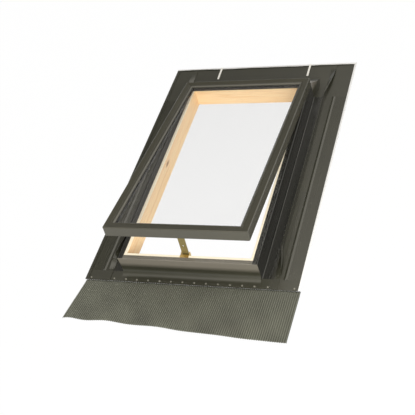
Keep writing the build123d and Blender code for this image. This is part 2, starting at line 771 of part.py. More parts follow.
# Bracket on the sill


def sill_bracket() -> Part:
    """The hooked bracket on the sill: lip, back plate, two cheeks and the stud for the bar."""
    half = stay_width / 2 + cheek_gap + cheek_thickness
    x = (stay_x - half, stay_x + half)
    face = sill_face_y + sill_bracket_plate
    bracket = block(x, (sill_face_y - sill_bracket_lip_reach, face), (frame_height, frame_height + sill_bracket_lip))
    bracket += block(x, (sill_face_y, face), (frame_height - sill_bracket_drop, frame_height + sill_bracket_lip))
    cheek = polygon([(face, rim_top - cheek_below), (face + cheek_depth - 4, rim_top - cheek_below),
                     (face + cheek_depth, rim_top - cheek_below + 6), (face + cheek_depth, rim_top + cheek_above),
                     (face + 3.5, rim_top + cheek_above), (face, rim_top - 2)])
    for side in (-1, 1):
        inner = stay_x + side * (stay_width / 2 + cheek_gap)
        outer = inner + side * cheek_thickness
        bracket += along_x(cheek, min(inner, outer), max(inner, outer))
    bracket += rod((stay_x, face, stud_z), (stay_x, face + stud_length, stud_z), stud_radius)
    return bracket


def sill_screws() -> Part:
    """The pan heads of the two screws that hold the bracket to the sill."""
    z = frame_height - sill_bracket_drop + sill_screw_height
    face = sill_face_y + sill_bracket_plate
    places = [stay_x - sill_screw_spacing / 2, stay_x + sill_screw_spacing / 2]
    head = RegularPolygon(screw_head_radius, small_head_facets)
    return Part() + [extrude(Plane(origin=(x, face, z), z_dir=(0, 1, 0)) * head, pan_head_height) for x in places]


def opened(shape: Part) -> Part:
    """Turn a piece of the shut sash about the hinges to where the sash stands open."""
    return shape.rotate(Axis((0, hinge_y, hinge_z), (1, 0, 0)), -open_angle)


def build() -> dict:
    """Every piece of the skylight by name, with the sash standing open."""
    left, right = -hinge_spacing / 2, hinge_spacing / 2
    side = side_flashing()
    pieces = {
        "frame_head": end_board(1),
        "frame_sill": end_board(-1),
        "frame_side_left": side_board(-1),
        "frame_side_right": side_board(1),
        "front_flashing": front_flashing(),
        "head_flashing": head_flashing(),
        "side_flashing_left": mirrored(side),
        "side_flashing_right": side,
        "pleated_apron": pleated_apron(),
        "apron_rivets": apron_rivets(),
        "hinge_frame_leaf_left": hinge_frame_leaf(left),
        "hinge_frame_leaf_right": hinge_frame_leaf(right),
        "hinge_pin_left": hinge_pin(left),
        "hinge_pin_right": hinge_pin(right),
        "hinge_screws": hinge_screws(),
        "sill_bracket": sill_bracket(),
        "sill_bracket_screws": sill_screws(),
    }
    for name, x in clip_places.items():
        pieces["holding_clip_" + name] = holding_clip(x)
    moving = {
        "corner_keys": corner_keys(),
        "outer_pane": pane(outer_pane_bottom, outer_pane_thickness),
        "inner_pane": pane(pane_bottom, inner_pane_thickness),
        "spacer_frame": spacer_frame(),
        "outer_gasket": outer_gasket(),
        "inner_tape": inner_tape(),
        "sash_seal": sash_seal(),
        "hinge_sash_leaf_left": hinge_sash_leaf(left),
        "hinge_sash_leaf_right": hinge_sash_leaf(right),
        "stay_bracket": stay_bracket(),
        "stay_pivot_pin": stay_pivot_pin(),
        "stay_bar": stay_bar(),
    }
    for name in ("sash_rail_bottom", "sash_rail_top", "sash_stile_left", "sash_stile_right"):
        moving[name] = sash_profile(name)
    pieces.update({name: opened(shape) for name, shape in moving.items()})
    return pieces


os.makedirs("parts", exist_ok=True)
for node, solid in build().items():
    export_step(solid, f"parts/{node}.step")
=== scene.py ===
"""Looks of a small top-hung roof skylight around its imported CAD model.

The CAD solids stay as they are and get their finishes here. The pleated apron and the rivet heads are made
here as surfaces. Everything is in metres in the row frame: +X across the roof, +Y up the slope, +Z outward.
"""

import logging
from dataclasses import dataclass, field
from enum import Enum

import bpy
import numpy as np
from mathutils import Matrix, Vector


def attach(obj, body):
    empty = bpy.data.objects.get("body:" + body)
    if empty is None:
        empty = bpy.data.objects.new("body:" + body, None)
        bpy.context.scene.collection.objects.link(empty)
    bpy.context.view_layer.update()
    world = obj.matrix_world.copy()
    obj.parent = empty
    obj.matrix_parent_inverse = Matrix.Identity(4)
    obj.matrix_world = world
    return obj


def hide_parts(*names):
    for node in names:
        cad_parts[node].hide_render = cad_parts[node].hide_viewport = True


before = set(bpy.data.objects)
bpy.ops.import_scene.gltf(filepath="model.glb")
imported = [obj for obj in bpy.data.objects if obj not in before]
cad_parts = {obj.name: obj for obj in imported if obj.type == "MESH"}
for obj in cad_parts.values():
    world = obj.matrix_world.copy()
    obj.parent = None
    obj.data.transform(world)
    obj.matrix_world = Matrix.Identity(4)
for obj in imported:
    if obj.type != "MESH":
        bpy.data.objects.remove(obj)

LOG = logging.getLogger("skylight")
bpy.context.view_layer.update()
MM = 0.001
WHITE = (1.0, 1.0, 1.0, 1.0)

Colour = tuple[float, float, float, float]
Socket = bpy.types.NodeSocket
Tree = bpy.types.NodeTree


class Grain(Enum):
    """The way that fibres or roller marks run, as the pattern's scale on each axis: small is drawn out."""

    ACROSS = (0.04, 1.0, 1.0)
    ALONG = (1.0, 0.04, 1.0)


def linear(code: str) -> Colour:
    """Turn an sRGB hex value into the linear colour that the shaders take.

    Args:
        code: six hex digits.

    Returns:
        Red, green, blue and an alpha of one.
    """
    raw = np.array([int(code[i : i + 2], 16) for i in (0, 2, 4)]) / 255.0
    even = np.where(raw <= 0.04045, raw / 12.92, ((raw + 0.055) / 1.055) ** 2.4)
    return (float(even[0]), float(even[1]), float(even[2]), 1.0)


def add_node(tree: Tree, kind: str, inputs: dict | None = None, **settings: object) -> bpy.types.Node:
    """Add a node with its settings, values and links.

    Args:
        tree: the node tree.
        kind: the node's type name.
        inputs: input name or number to a value, or to the socket that feeds it.
        settings: attributes of the node itself.

    Returns:
        The new node.
    """
    made = tree.nodes.new(kind)
    for name, value in settings.items():
        setattr(made, name, value)
    for key, value in (inputs or {}).items():
        if isinstance(value, Socket):
            tree.links.new(value, made.inputs[key])
        else:
            made.inputs[key].default_value = value
    return made


def start_material(name: str) -> tuple[bpy.types.Material, Tree]:
    """Make an empty node material with that name."""
    material = bpy.data.materials.new(name)
    material.use_nodes = True
    material.node_tree.nodes.clear()
    return material, material.node_tree


def surface_mesh(name: str, points: np.ndarray, faces: np.ndarray, material: bpy.types.Material,
                 smooth: bool = True) -> bpy.types.Object:
    """Put worked-out points and four-sided faces into a new object at the origin.

    Args:
        name: the object's name.
        points: an n by 3 array, in metres.
        faces: an m by 4 array of point numbers, counter-clockwise from outside.
        material: what the piece is finished with.
        smooth: whether the shading is smooth.

    Returns:
        The linked object.
    """
    mesh = bpy.data.meshes.new(name)
    mesh.from_pydata(points.reshape(-1, 3).tolist(), [], faces.reshape(-1, 4).tolist())
    mesh.polygons.foreach_set("use_smooth", np.full(len(mesh.polygons), smooth))
    mesh.materials.append(material)
    mesh.update()
    made = bpy.data.objects.new(name, mesh)
    bpy.context.scene.collection.objects.link(made)
    return made


def grid_faces(rows: int, columns: int) -> np.ndarray:
    """Number the four-sided faces of a grid of rows by columns points, row by row."""
    first = (np.arange(rows - 1)[:, None] * columns + np.arange(columns - 1)[None, :]).ravel()
    return np.stack([first, first + 1, first + columns + 1, first + columns], axis=1)


@dataclass(frozen=True)
class CoatedSheet:
    """Coil-coated aluminium sheet: a dark satin film, faintly mottled, and bare metal where its back shows.

    The coater's rollers leave faint marks along the sheet, and thin sheet is never quite flat, so its gloss
    wavers. Painted shade darkens the gutters and the curb's sides, and a painted sheen makes the film paler
    from 30 mm up; both tones are matched to the photograph.
    """

    name: str
    rolled: Grain
    film: str = "38382D"
    film_dark: str = "22231B"
    bare: str = "E9EBEF"
    roughness: float = 0.27
    ior: float = 1.6
    wave_depth_mm: float = 4.0
    wave_strength: float = 0.08
    mottle_mm: float = 160.0
    roller_mark_mm: float = 9.0
    mark_span: tuple[float, float] = (0.3, 0.7)
    mark_gloss: tuple[float, float] = (-0.015, 0.03)
    hem_from_x_mm: float = 341.5
    hem_from_y_mm: float = 576.0
    hem_wander_mm: float = 3.5
    hem_wander_span: tuple[float, float] = (0.35, 0.65)
    hem_above_z_mm: float = 4.15
    hem_metallic: float = 0.35
    upright_film: str = "6C6961"
    upright_share: float = 1.0
    upright_from_mm: tuple[float, float] = (30.0, 48.0)
    gutter_film: str = "121310"
    gutter_share: float = 0.0
    gutter_to_mm: tuple[float, float] = (252.0, 268.0)

    def make(self) -> bpy.types.Material:
        """Build the material: film by place with painted shade and sheen, roller marks, and the turned-over hem
        in bare metal with a painted glint.
        """
        material, tree = start_material(self.name)
        place = add_node(tree, "ShaderNodeTexCoord").outputs["Object"]
        mottle = add_node(tree, "ShaderNodeTexNoise", {"Vector": place, "Scale": 1 / (self.mottle_mm * MM),
                                                       "Detail": 3.0})
        drawn = add_node(tree, "ShaderNodeMapping", {"Vector": place, "Scale": self.rolled.value})
        marks = add_node(tree, "ShaderNodeTexNoise", {"Vector": drawn.outputs[0],
                                                      "Scale": 1 / (self.roller_mark_mm * MM), "Detail": 4.0})
        film = add_node(tree, "ShaderNodeMix", {
            0: mottle.outputs[0], 6: linear(self.film_dark), 7: linear(self.film)}, data_type="RGBA")
        split = add_node(tree, "ShaderNodeSeparateXYZ", {0: place})
        sideways = add_node(tree, "ShaderNodeMath", {0: split.outputs[0]}, operation="ABSOLUTE")
        # Painted shade: where a sheet is given a share, the film darkens within 252 mm of the middle, fading out
        # by 268 mm, over the gutters and the curb's sides.
        gutter = add_node(tree, "ShaderNodeMapRange", {
            0: sideways.outputs[0], 1: self.gutter_to_mm[0] * MM, 2: self.gutter_to_mm[1] * MM,
            3: self.gutter_share, 4: 0.0})
        film = add_node(tree, "ShaderNodeMix", {0: gutter.outputs[0], 6: film.outputs[2],
                                                7: linear(self.gutter_film)}, data_type="RGBA")
        # Painted sheen: where a sheet is given a share, the film turns paler from 30 mm up, over the faces that
        # stand up and the cap.
        upright = add_node(tree, "ShaderNodeMapRange", {0: split.outputs[2], 1: self.upright_from_mm[0] * MM,
                                                        2: self.upright_from_mm[1] * MM, 3: 0.0,
                                                        4: self.upright_share})
        film = add_node(tree, "ShaderNodeMix", {
            0: upright.outputs[0], 6: film.outputs[2], 7: linear(self.upright_film)}, data_type="RGBA")
        # The hem's bare metal is real; the mask gives it to the right edge and the head only, not the left edge,
        # as a painted glint.
        past_x = add_node(tree, "ShaderNodeMath", {0: split.outputs[0], 1: self.hem_from_x_mm * MM},
                          operation="GREATER_THAN")
        wander = add_node(tree, "ShaderNodeMapRange", {
            0: mottle.outputs[0], 1: self.hem_wander_span[0], 2: self.hem_wander_span[1],
            3: self.hem_from_y_mm * MM, 4: (self.hem_from_y_mm + self.hem_wander_mm) * MM})
        past_y = add_node(tree, "ShaderNodeMath", {0: split.outputs[1], 1: wander.outputs[0]},
                          operation="GREATER_THAN")
        at_edge = add_node(tree, "ShaderNodeMath", {0: past_x.outputs[0], 1: past_y.outputs[0]},
                           operation="MAXIMUM")
        above = add_node(tree, "ShaderNodeMath", {0: split.outputs[2], 1: self.hem_above_z_mm * MM},
                         operation="GREATER_THAN")
        hem = add_node(tree, "ShaderNodeMath", {0: at_edge.outputs[0], 1: above.outputs[0]},
                       operation="MULTIPLY")
        colour = add_node(tree, "ShaderNodeMix", {
            0: hem.outputs[0], 6: film.outputs[2], 7: linear(self.bare)}, data_type="RGBA")
        metallic = add_node(tree, "ShaderNodeMath", {0: hem.outputs[0], 1: self.hem_metallic},
                            operation="MULTIPLY")
        rough = add_node(tree, "ShaderNodeMapRange", {
            0: marks.outputs[0], 1: self.mark_span[0], 2: self.mark_span[1],
            3: self.roughness + self.mark_gloss[0], 4: self.roughness + self.mark_gloss[1]})
        waves = add_node(tree, "ShaderNodeTexNoise", {"Vector": place, "Scale": 1 / (self.mottle_mm * MM),
                                                      "Detail": 0.0})
        bump = add_node(tree, "ShaderNodeBump", {"Height": waves.outputs[0], "Strength": self.wave_strength,
                                                "Distance": self.wave_depth_mm * MM})
        shader = add_node(tree, "ShaderNodeBsdfPrincipled", {
            "Base Color": colour.outputs[2], "Metallic": metallic.outputs[0], "Roughness": rough.outputs[0],
            "Normal": bump.outputs[0], "IOR": self.ior})
        add_node(tree, "ShaderNodeOutputMaterial", {0: shader.outputs[0]})
        return material


@dataclass(frozen=True)
class PowderCoat:
    """Powder coating on aluminium profiles: an even satin film with a fine orange-peel skin."""

    name: str = "powder_coated_profile"
    film: str = "3A3930"
    film_worn: str = "454439"
    roughness: float = 0.21
    gloss_spread: float = 0.05
    ior: float = 1.6
    peel_mm: float = 1.6
    peel_depth_mm: float = 0.4
    peel_strength: float = 0.05
    shade_mm: float = 220.0

    def make(self) -> bpy.types.Material:
        """Build the material: slow shade changes along the profile and a fine bump."""
        material, tree = start_material(self.name)
        place = add_node(tree, "ShaderNodeTexCoord").outputs["Object"]
        shade = add_node(tree, "ShaderNodeTexNoise", {"Vector": place, "Scale": 1 / (self.shade_mm * MM),
                                                      "Detail": 2.0})
        peel = add_node(tree, "ShaderNodeTexNoise", {"Vector": place, "Scale": 1 / (self.peel_mm * MM),
                                                     "Detail": 1.0})
        colour = add_node(tree, "ShaderNodeMix", {
            0: shade.outputs[0], 6: linear(self.film), 7: linear(self.film_worn)}, data_type="RGBA")
        rough = add_node(tree, "ShaderNodeMapRange", {
            0: shade.outputs[0], 3: self.roughness - self.gloss_spread, 4: self.roughness + self.gloss_spread})
        bump = add_node(tree, "ShaderNodeBump", {"Height": peel.outputs[0], "Strength": self.peel_strength,
                                                "Distance": self.peel_depth_mm * MM})
        shader = add_node(tree, "ShaderNodeBsdfPrincipled", {
            "Base Color": colour.outputs[2], "Roughness": rough.outputs[0], "Normal": bump.outputs[0],
            "IOR": self.ior})
        add_node(tree, "ShaderNodeOutputMaterial", {0: shader.outputs[0]})
        return material


@dataclass(frozen=True)
class Pine:
    """Planed pine under clear lacquer: pale sapwood, thin darker late wood along the fibres, and a few knots.

    The rim's top edge is made paler by a painted highlight, as in the photograph.
    """

    name: str
    grain: Grain
    sapwood: str = "FFE4B8"
    latewood: str = "F0C48C"
    planed_edge: str = "FFFAE8"
    edge_above_mm: float = 64.0
    edge_blend_mm: float = 1.2
    edge_share: float = 0.85
    knot: str = "8E5A2C"
    ring_mm: float = 5.5
    ring_noise: float = 0.62
    ring_bend: float = 0.4
    knot_spacing_mm: float = 120.0
    knot_stretch: float = 0.35
    knot_core: float = 0.035
    knot_rim: float = 0.075
    latewood_share: float = 0.75
    latewood_span: tuple[float, float] = (0.46, 0.66)
    roughness: float = 0.42
    fibre_gloss: tuple[float, float] = (-0.06, 0.08)
    ior: float = 1.48
    fibre_depth_mm: float = 0.6
    fibre_strength: float = 0.08

    def make(self) -> bpy.types.Material:
        """Build the material from stretched noise for the rings and cells for the knots."""
        material, tree = start_material(self.name)
        place = add_node(tree, "ShaderNodeTexCoord").outputs["Object"]
        stretched = add_node(tree, "ShaderNodeMapping", {"Vector": place, "Scale": self.grain.value})
        rings = add_node(tree, "ShaderNodeTexNoise", {
            "Vector": stretched.outputs[0], "Scale": 1 / (self.ring_mm * MM), "Detail": 5.0,
            "Roughness": self.ring_noise, "Distortion": self.ring_bend})
        late = add_node(tree, "ShaderNodeMapRange", {
            0: rings.outputs[0], 1: self.latewood_span[0], 2: self.latewood_span[1], 3: 0.0,
            4: self.latewood_share})
        wood = add_node(tree, "ShaderNodeMix", {
            0: late.outputs[0], 6: linear(self.sapwood), 7: linear(self.latewood)}, data_type="RGBA")
        stretch = tuple(self.knot_stretch if value < 1 else 1.0 for value in self.grain.value)
        oval = add_node(tree, "ShaderNodeMapping", {"Vector": place, "Scale": stretch})
        cells = add_node(tree, "ShaderNodeTexVoronoi", {"Vector": oval.outputs[0],
                                                        "Scale": 1 / (self.knot_spacing_mm * MM)})
        spot = add_node(tree, "ShaderNodeMapRange", {
            0: cells.outputs["Distance"], 1: self.knot_core, 2: self.knot_rim, 3: 1.0, 4: 0.0})
        colour = add_node(tree, "ShaderNodeMix", {
            0: spot.outputs[0], 6: wood.outputs[2], 7: linear(self.knot)}, data_type="RGBA")
        # Painted highlight: the boards' top edge is given a pale cream.
        height = add_node(tree, "ShaderNodeSeparateXYZ", {0: place})
        top = add_node(tree, "ShaderNodeMapRange", {
            0: height.outputs[2], 1: (self.edge_above_mm - self.edge_blend_mm) * MM,
            2: self.edge_above_mm * MM, 3: 0.0, 4: self.edge_share})
        colour = add_node(tree, "ShaderNodeMix", {0: top.outputs[0], 6: colour.outputs[2],
                                                  7: linear(self.planed_edge)}, data_type="RGBA")
        rough = add_node(tree, "ShaderNodeMapRange", {
            0: rings.outputs[0], 3: self.roughness + self.fibre_gloss[0],
            4: self.roughness + self.fibre_gloss[1]})
        bump = add_node(tree, "ShaderNodeBump", {"Height": rings.outputs[0], "Strength": self.fibre_strength,
                                                "Distance": self.fibre_depth_mm * MM})
        shader = add_node(tree, "ShaderNodeBsdfPrincipled", {
            "Base Color": colour.outputs[2], "Roughness": rough.outputs[0], "Normal": bump.outputs[0],
            "IOR": self.ior})
        add_node(tree, "ShaderNodeOutputMaterial", {0: shader.outputs[0]})
        return material


@dataclass(frozen=True)
class WindowGlass:
    """Float glass: clear and nearly without colour, so that the pine and the floor behind show through.

    Its IOR is under the usual 1.52, so that the panes mirror as little as they do in the photograph.
    """

    name: str = "float_glass"
    body: str = "FEFEFE"
    ior: float = 1.37

    def make(self) -> bpy.types.Material:
        """Build the material, with clear shadows so that the pine behind the panes is lit."""
        material, tree = start_material(self.name)
        path = add_node(tree, "ShaderNodeLightPath")
        shader = add_node(tree, "ShaderNodeBsdfPrincipled", {
            "Base Color": linear(self.body), "Roughness": 0.0, "IOR": self.ior, "Transmission Weight": 1.0})
        clear = add_node(tree, "ShaderNodeBsdfTransparent", {0: linear(self.body)})
        unlit = add_node(tree, "ShaderNodeMath", {0: path.outputs["Is Shadow Ray"],
                                                  1: path.outputs["Is Diffuse Ray"]}, operation="MAXIMUM")
        both = add_node(tree, "ShaderNodeMixShader", {
            0: unlit.outputs[0], 1: shader.outputs[0], 2: clear.outputs[0]})
        add_node(tree, "ShaderNodeOutputMaterial", {0: both.outputs[0]})
        return material


@dataclass(frozen=True)
class SealRubber:
    """EPDM rubber: nearly black, dull, with a little bloom."""

    name: str = "epdm_seal"
    body: str = "1E1E1C"
    bloom: str = "33332F"
    bloom_mm: float = 14.0
    roughness: float = 0.7

    def make(self) -> bpy.types.Material:
        """Build the material."""
        material, tree = start_material(self.name)
        place = add_node(tree, "ShaderNodeTexCoord").outputs["Object"]
        bloom = add_node(tree, "ShaderNodeTexNoise", {"Vector": place, "Scale": 1 / (self.bloom_mm * MM),
                                                      "Detail": 3.0})
        colour = add_node(tree, "ShaderNodeMix", {
            0: bloom.outputs[0], 6: linear(self.body), 7: linear(self.bloom)}, data_type="RGBA")
        shader = add_node(tree, "ShaderNodeBsdfPrincipled", {
            "Base Color": colour.outputs[2], "Roughness": self.roughness})
        add_node(tree, "ShaderNodeOutputMaterial", {0: shader.outputs[0]})
        return material


@dataclass(frozen=True)
class ApronCoat:
    """Pleated, painted foil on a soft backing: an olive-grey film, with a painted highlight on the crests of the
    pleats and painted shade low between them.
    """

    name: str = "pleated_foil"
    film: str = "65685D"
    # film_dark is both the mottle's dark tone and the painted shade low in the pleats.
    film_dark: str = "2F302A"
    mottle_mm: float = 90.0
    mottle_share: float = 0.4
    crest_from_mm: float = 1.2
    crest_to_mm: float = 4.0
    crest_share: tuple[float, float] = (-0.2, 0.75)
    roughness: float = 0.48
    ior: float = 1.5

    def make(self) -> bpy.types.Material:
        """Build the material."""
        material, tree = start_material(self.name)
        place = add_node(tree, "ShaderNodeTexCoord").outputs["Object"]
        mottle = add_node(tree, "ShaderNodeTexNoise", {"Vector": place, "Scale": 1 / (self.mottle_mm * MM),
                                                       "Detail": 4.0})
        height = add_node(tree, "ShaderNodeSeparateXYZ", {0: place})
        # Painted shade and highlight: the film is darker low in the pleats and paler on their crests.
        crest = add_node(tree, "ShaderNodeMapRange", {
            0: height.outputs[2], 1: self.crest_from_mm * MM, 2: self.crest_to_mm * MM,
            3: self.crest_share[0], 4: self.crest_share[1]})
        share = add_node(tree, "ShaderNodeMath", {
            0: mottle.outputs[0], 1: self.mottle_share, 2: crest.outputs[0]}, operation="MULTIPLY_ADD")
        colour = add_node(tree, "ShaderNodeMix", {0: share.outputs[0], 6: linear(self.film_dark),
                                                  7: linear(self.film)}, data_type="RGBA", clamp_factor=True)
        shader = add_node(tree, "ShaderNodeBsdfPrincipled", {
            "Base Color": colour.outputs[2], "Roughness": self.roughness, "IOR": self.ior})
        add_node(tree, "ShaderNodeOutputMaterial", {0: shader.outputs[0]})
        return material


@dataclass(frozen=True)
class BareMetal:
    """Bare or plated metal with fine drawing marks, such as zinc-plated steel, brass or mill aluminium."""

    name: str
    metal: str
    tarnish: str
    metallic: float = 1.0
    roughness: float = 0.35
    gloss_spread: float = 0.08
    mark_mm: float = 3.0

    def make(self) -> bpy.types.Material:
        """Build the material: patches of tarnish and an uneven gloss."""
        material, tree = start_material(self.name)
        place = add_node(tree, "ShaderNodeTexCoord").outputs["Object"]
        marks = add_node(tree, "ShaderNodeTexNoise", {"Vector": place, "Scale": 1 / (self.mark_mm * MM),
                                                      "Detail": 4.0})
        colour = add_node(tree, "ShaderNodeMix", {
            0: marks.outputs[0], 6: linear(self.metal), 7: linear(self.tarnish)}, data_type="RGBA")
        rough = add_node(tree, "ShaderNodeMapRange", {
            0: marks.outputs[0], 3: self.roughness - self.gloss_spread, 4: self.roughness + self.gloss_spread})
        shader = add_node(tree, "ShaderNodeBsdfPrincipled", {
            "Base Color": colour.outputs[2], "Metallic": self.metallic, "Roughness": rough.outputs[0]})
        add_node(tree, "ShaderNodeOutputMaterial", {0: shader.outputs[0]})
        return material


# Which metal a piece is of is judged from its colour, or guessed where it is hidden. Metallic is lowered where
# a piece looks flat and dull in the photograph.
ZINC_STEEL = BareMetal("zinc_plated_steel", "C9C8C2", "A3A29B", roughness=0.38)
MILL_ALUMINIUM = BareMetal("mill_aluminium", "DADAD6", "BDBDB8", roughness=0.32)
YELLOW_BRASS = BareMetal("yellow_brass", "E6C988", "B99A55", roughness=0.30)
BRONZED_STEEL = BareMetal("bronzed_steel", "A0935F", "746A47", metallic=0.55, roughness=0.42)
RIVET_METAL = BareMetal("rivet_aluminium", "8E8D84", "6B6A62", metallic=0.5, roughness=0.4)
SPACER_METAL = BareMetal("black_anodised_aluminium", "1C1C1A", "262624", metallic=0.2, roughness=0.5)
CLIP_METAL = BareMetal("pickled_aluminium", "FBFBF9", "ECECE8", metallic=0.15, roughness=0.5)


def dress(nodes: list[str], material: bpy.types.Material) -> None:
    """Give CAD nodes a finish.

    Args:
        nodes: names of CAD nodes.
        material: the finish.
    """
    for name in nodes:
        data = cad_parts[name].data
        data.materials.clear()
        data.materials.append(material)
    LOG.info("%s: %s", material.name, ", ".join(nodes))


@dataclass
class PineFrame:
    """The box frame of four boards."""

    end_boards: list[str] = field(default_factory=lambda: ["frame_head", "frame_sill"])
    side_boards: list[str] = field(default_factory=lambda: ["frame_side_left", "frame_side_right"])

    def build(self) -> None:
        """Dress the boards, each with the grain along its length."""
        dress(self.end_boards, Pine("pine_end_boards", Grain.ACROSS).make())
        dress(self.side_boards, Pine("pine_side_boards", Grain.ALONG).make())


@dataclass
class Flashing:
    """The folded sheets round the frame and the clips on the head hem."""

    long_sheets: list[str] = field(default_factory=lambda: ["side_flashing_left", "side_flashing_right"])
    end_sheets: list[str] = field(default_factory=lambda: ["front_flashing", "head_flashing"])
    clips: list[str] = field(default_factory=lambda: ["holding_clip_left", "holding_clip_right"])

    def build(self) -> None:
        """Dress the sheets and the clips."""
        # The long sheets get painted shade over their gutters, the end sheets a painted sheen higher up.
        long_film = CoatedSheet("coil_coated_long_sheet", Grain.ALONG, gutter_share=0.9, upright_share=0.0)
        end_film = CoatedSheet("coil_coated_end_sheet", Grain.ACROSS, roughness=0.34)
        dress(self.long_sheets, long_film.make())
        dress(self.end_sheets, end_film.make())
        dress(self.clips, CLIP_METAL.make())


@dataclass
class PleatedApron:
    """The soft apron: a foil pressed into narrow pleats down the slope, flattened where it is riveted."""

    top_left_mm: float = -342.5
    top_right_mm: float = 349.5
    top_y_mm: float = -440.5
    edge_x_mm: tuple[float, ...] = (-369.5, -170.0, 90.0, 344.5)
    edge_y_mm: tuple[float, ...] = (-590.0, -592.0, -606.0, -615.9)
    pleat_mm: float = 6.4
    points_per_pleat: int = 6
    rows_down: int = 46
    pleat_height_mm: float = 3.0
    middle_z_mm: float = 2.3
    pressed_share: float = 0.35
    pressed_length: float = 0.12
    row_crowding: float = 0.9
    wander_knots: int = 24
    wander_share: float = 0.0016
    edge_waves: float = 4.3
    edge_wave_mm: float = 3.0
    sag_mm: tuple[float, float] = (0.27, 0.22)
    foil_mm: float = 0.6
    seed: int = 7

    def points(self) -> np.ndarray:
        """Work out the foil as a grid.

        Across it goes from the left edge to the right, and down from the flange to the free edge. A point lies
        on the straight line between the top edge and the free edge, whose Y is a cubic in X plus a wave that
        dies out to the right. The pleats' places wander a little. The height is that of the foil's middle, plus a
        triangle wave across for the pleats, pressed flatter where it is riveted, plus two slow waves for the
        soft backing's sag.

        Returns:
            Rows by columns by 3, in metres.
        """
        width = self.top_right_mm - self.top_left_mm
        pleats = round(width / self.pleat_mm)
        across = np.linspace(0.0, 1.0, pleats * self.points_per_pleat + 1)
        down = np.linspace(0.0, 1.0, self.rows_down) ** self.row_crowding
        rng = np.random.default_rng(self.seed)
        wander = np.interp(across, np.linspace(0, 1, self.wander_knots),
                           rng.normal(0.0, self.wander_share, self.wander_knots))
        cubic = np.polyfit(self.edge_x_mm, self.edge_y_mm, 3)
        top_x = self.top_left_mm + width * (across + wander * np.sin(np.pi * across))
        edge_x = self.edge_x_mm[0] + (self.edge_x_mm[-1] - self.edge_x_mm[0]) * across
        edge_y = np.polyval(cubic, edge_x)
        edge_y = edge_y + self.edge_wave_mm * np.sin(2 * np.pi * self.edge_waves * across**0.8) * (1 - across)
        x = top_x[None, :] + (edge_x - top_x)[None, :] * down[:, None]
        y = self.top_y_mm + (edge_y - self.top_y_mm)[None, :] * down[:, None]
        phase = across * pleats
        wave = 2.0 * np.abs(2.0 * (phase - np.floor(phase + 0.5))) - 1.0
        free = np.clip(down / self.pressed_length, 0.0, 1.0)
        pressed = self.pressed_share + (1.0 - self.pressed_share) * free
        sag = self.sag_mm[0] * np.sin(2 * np.pi * (3.1 * across[None, :] + 0.7 * down[:, None]))
        sag += self.sag_mm[1] * np.sin(2 * np.pi * (7.3 * across[None, :] - 1.3 * down[:, None]) + 1.0)
        uneven = 0.86 + 0.14 * np.sin(2 * np.pi * 5 * across)
        pleat = 0.5 * self.pleat_height_mm * pressed[:, None] * (wave * uneven)[None, :]
        z = self.middle_z_mm + pleat + sag * down[:, None]
        return np.stack([x, y, z], axis=-1) * MM

    def build(self) -> None:
        """Make the foil, give it its thickness and put it in place of the plain slab."""
        finish = ApronCoat().make()
        points = self.points()
        rows, columns = points.shape[:2]
        foil = surface_mesh("pleated_foil_apron", points, grid_faces(rows, columns)[:, ::-1], finish)
        wall = foil.modifiers.new("foil", "SOLIDIFY")
        wall.thickness = self.foil_mm * MM
        wall.offset = 0.0
        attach(foil, "frame")
        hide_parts("pleated_apron")
        LOG.info("apron: %d by %d points", rows, columns)


@dataclass
class RivetRow:
    """Blind rivets along the front flange: a low dome with the snapped mandrel in its middle."""

    pitch_mm: float = 38.0
    count: int = 12
    y_mm: float = -431.5
    corner_x_mm: tuple[float, ...] = (249.0, 329.0)
    flange_top_mm: float = 3.8
    turns: int = 20
    profile_mm: tuple[tuple[float, float], ...] = (
        (3.2, 0.0), (3.15, 0.35), (2.8, 0.85), (2.1, 1.18), (1.35, 1.28), (1.05, 1.22), (0.9, 0.75),
        (0.4, 0.62), (0.02, 0.6))

    def build(self) -> None:
        """Turn one profile round every rivet's axis, all as one mesh.

        The profile goes from the rim over the dome into the mandrel's pit; a point is its radius round the axis
        and its height over the flange.
        """
        profile = np.array(self.profile_mm)
        row = (np.arange(self.count) - (self.count - 1) / 2) * self.pitch_mm
        corners = np.concatenate([[-x, x] for x in self.corner_x_mm])
        centres = np.concatenate([row, corners])
        angle = np.linspace(0.0, 2 * np.pi, self.turns, endpoint=False)
        x = centres[:, None, None] + profile[None, :, None, 0] * np.cos(angle)
        y = np.broadcast_to(self.y_mm + profile[None, :, None, 0] * np.sin(angle), x.shape)
        z = np.broadcast_to(self.flange_top_mm + profile[None, :, None, 1], x.shape)
        points = np.stack([x, y, z], axis=-1) * MM
        ring = np.arange(self.turns)
        level = np.arange(len(profile) - 1)[:, None] * self.turns
        after = (ring + 1) % self.turns
        above = level + self.turns
        one = np.stack([level + ring, level + after, above + after, above + ring], axis=-1).reshape(-1, 4)
        step = len(profile) * self.turns
        faces = (one[None] + np.arange(len(centres))[:, None, None] * step).reshape(-1, 4)
        heads = surface_mesh("rivet_heads", points, faces, RIVET_METAL.make())
        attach(heads, "frame")
        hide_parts("apron_rivets")
        LOG.info("rivets: %d heads", len(centres))


@dataclass
class GlazedSash:
    """The moving sash with its panes, seals and keys."""

    profiles: list[str] = field(default_factory=lambda: [
        "sash_rail_bottom", "sash_rail_top", "sash_stile_left", "sash_stile_right"])
    panes: list[str] = field(default_factory=lambda: ["outer_pane", "inner_pane"])
    seals: list[str] = field(default_factory=lambda: ["outer_gasket", "inner_tape", "sash_seal"])

    def build(self) -> None:
        """Dress every piece of the sash."""
        dress(self.profiles, PowderCoat().make())
        dress(self.panes, WindowGlass().make())
        dress(self.seals, SealRubber().make())
        dress(["corner_keys"], MILL_ALUMINIUM.make())
        dress(["spacer_frame"], SPACER_METAL.make())


